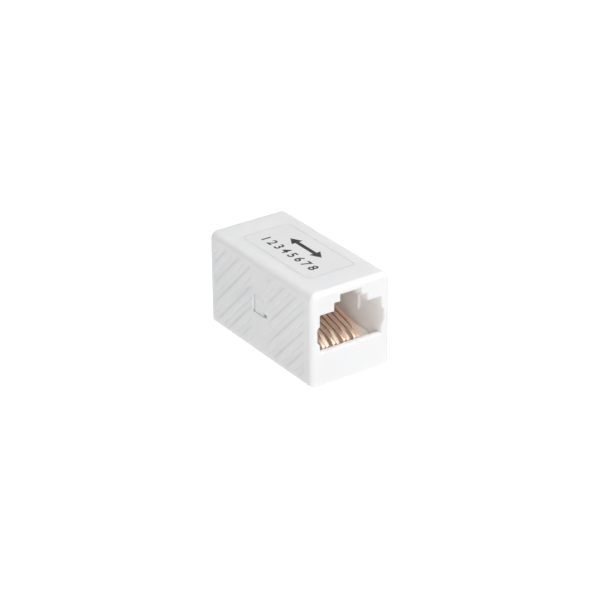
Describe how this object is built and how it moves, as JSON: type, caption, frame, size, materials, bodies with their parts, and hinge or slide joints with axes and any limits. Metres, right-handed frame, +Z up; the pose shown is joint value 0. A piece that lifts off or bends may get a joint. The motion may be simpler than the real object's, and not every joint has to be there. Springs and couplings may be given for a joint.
{
  "type": "rj45 inline coupler",
  "caption": "Inline coupler that joins two modular network plugs end to end: a ribbed white housing with a socket at each end and spring contacts inside.",
  "frame": {"origin": "middle of the base, on the surface that the coupler stands on", "axes": "+Y runs along the length from the front socket to the rear one, +X across, +Z up, with the latch slots on top"},
  "size_m": [0.0152, 0.0296, 0.0165],
  "materials": {
    "housing_plastic": "moulded, satin",
    "carrier_plastic": "moulded, matt",
    "contact_plating": "gold plated, polished",
    "board": "solder mask",
    "label_film": "printed film, satin"
  },
  "bodies": {
    "root": {"housing": "housing_plastic", "rear_cap": "housing_plastic", "front_contact_carrier": "carrier_plastic", "rear_contact_carrier": "carrier_plastic", "circuit_board": "board", "label": "label_film", "contact_front_1": "contact_plating", "contact_front_2": "contact_plating", "contact_front_3": "contact_plating", "contact_front_4": "contact_plating", "contact_front_5": "contact_plating", "contact_front_6": "contact_plating", "contact_front_7": "contact_plating", "contact_front_8": "contact_plating", "contact_rear_1": "contact_plating", "contact_rear_2": "contact_plating", "contact_rear_3": "contact_plating", "contact_rear_4": "contact_plating", "contact_rear_5": "contact_plating", "contact_rear_6": "contact_plating", "contact_rear_7": "contact_plating", "contact_rear_8": "contact_plating"}
  },
  "joints": []
}
